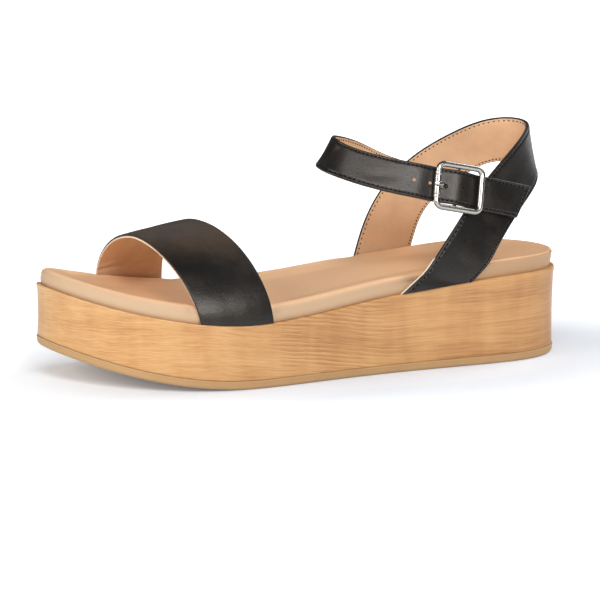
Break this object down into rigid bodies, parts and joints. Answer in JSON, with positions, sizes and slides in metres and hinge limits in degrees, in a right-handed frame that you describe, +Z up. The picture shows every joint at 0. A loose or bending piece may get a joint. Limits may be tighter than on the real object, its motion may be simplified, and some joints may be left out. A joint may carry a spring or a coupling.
{
  "type": "flatform sandal",
  "caption": "Left flatform sandal with a wood-look platform, padded footbed, wide toe strap and a heel sling that closes at the ankle with a prong buckle.",
  "frame": {"origin": "middle of the footprint's box, on the floor", "axes": "+X to the toe, +Y to the outer side of the foot, where the buckle is, +Z up"},
  "size_m": [0.2496, 0.0918, 0.1094],
  "materials": {
    "outsole_rubber": "matte tan",
    "platform_wood": "satin, fine lengthwise grain",
    "insole_leather": "smooth tan",
    "strap_leather": "black, fine grain, soft sheen",
    "strap_lining": "matte tan",
    "thread": "twisted black thread",
    "buckle_metal": "polished silver"
  },
  "bodies": {
    "root": {"outsole": "outsole_rubber", "platform": "platform_wood", "insole": "insole_leather", "toe_strap": "strap_leather", "heel_sling": "strap_leather", "buckle_frame": "buckle_metal", "buckle_prong": "buckle_metal"}
  },
  "joints": []
}
